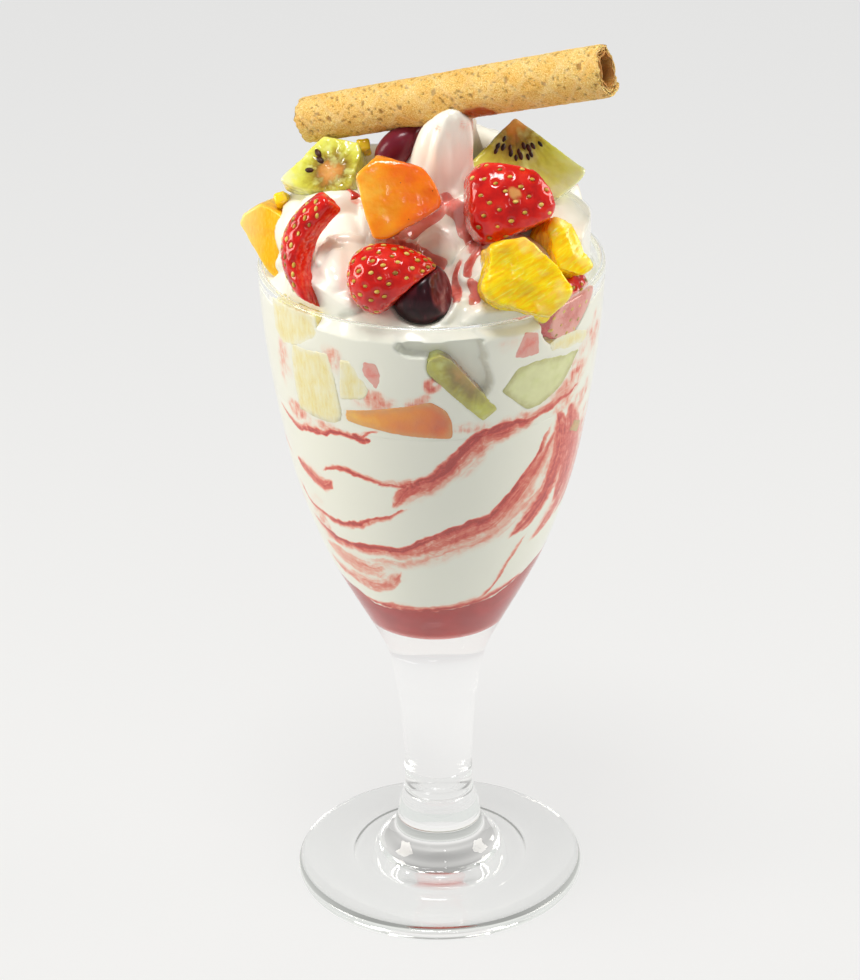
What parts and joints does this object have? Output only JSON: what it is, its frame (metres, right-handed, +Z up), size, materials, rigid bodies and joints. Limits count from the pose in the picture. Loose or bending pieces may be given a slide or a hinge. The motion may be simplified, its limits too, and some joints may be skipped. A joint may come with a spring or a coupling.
{
  "type": "fruit salad with ice cream",
  "caption": "Stemmed sundae glass filled with marbled ice cream and whipped cream, topped with cut fruit and a wafer roll.",
  "frame": {"origin": "centre of the glass's ground foot ring, on the plane it stands on", "axes": "+Z up along the glass's turned axis, -Y towards the side shown, +X to the right of that side"},
  "size_m": [0.0956, 0.0884, 0.2439],
  "materials": {
    "glass": "clear pressed soda-lime glass, polished, alpha 0.3",
    "sauce": "glossy red strawberry sauce, thick and slightly clouded",
    "ice_cream": "white ice cream marbled with red sauce streaks",
    "whipped_cream": "smooth white whipped cream with a soft satin sheen and pink syrup stains",
    "wafer": "baked golden wafer, fine pits and a faint lattice",
    "mango": "moist yellow mango flesh with fine pale fibres",
    "strawberry": "glossy red strawberry skin with golden achenes in dimples, brighter wet flesh on cuts",
    "cherry": "dark maroon cherry skin, glossy and wet",
    "peach": "wet orange peach flesh, slightly translucent, with tiny specks",
    "orange": "yellow-orange citrus pulp with juice vesicles and pale membranes",
    "kiwi": "green kiwi flesh with pale rays and a band of dark seeds",
    "pineapple": "pale yellow fibrous pineapple flesh"
  },
  "bodies": {
    "root": {"glass": "glass", "sauce_pool": "sauce", "ice_cream": "ice_cream", "cream_top": "whipped_cream", "wafer_roll": "wafer", "mango_left": "mango", "strawberry_left": "strawberry", "strawberry_front": "strawberry", "strawberry_right": "strawberry", "strawberry_rim": "strawberry", "strawberry_rear": "strawberry", "strawberry_side": "strawberry", "berry_bit": "strawberry", "berry_low": "strawberry", "cherry_front": "cherry", "cherry_back": "cherry", "peach_chunk": "peach", "peach_slice": "peach", "peach_rear": "peach", "orange_front": "orange", "orange_back": "orange", "orange_rear": "orange", "kiwi_right": "kiwi", "kiwi_left": "kiwi", "kiwi_strip": "kiwi", "kiwi_low": "kiwi", "kiwi_rear": "kiwi", "kiwi_side": "kiwi", "green_bit": "kiwi", "pineapple_bit_left": "pineapple", "pineapple_bit_back": "pineapple", "pineapple_upper": "pineapple", "pineapple_lower": "pineapple", "melon_seeded": "pineapple", "pineapple_right": "pineapple", "pineapple_rear": "pineapple"}
  },
  "joints": []
}
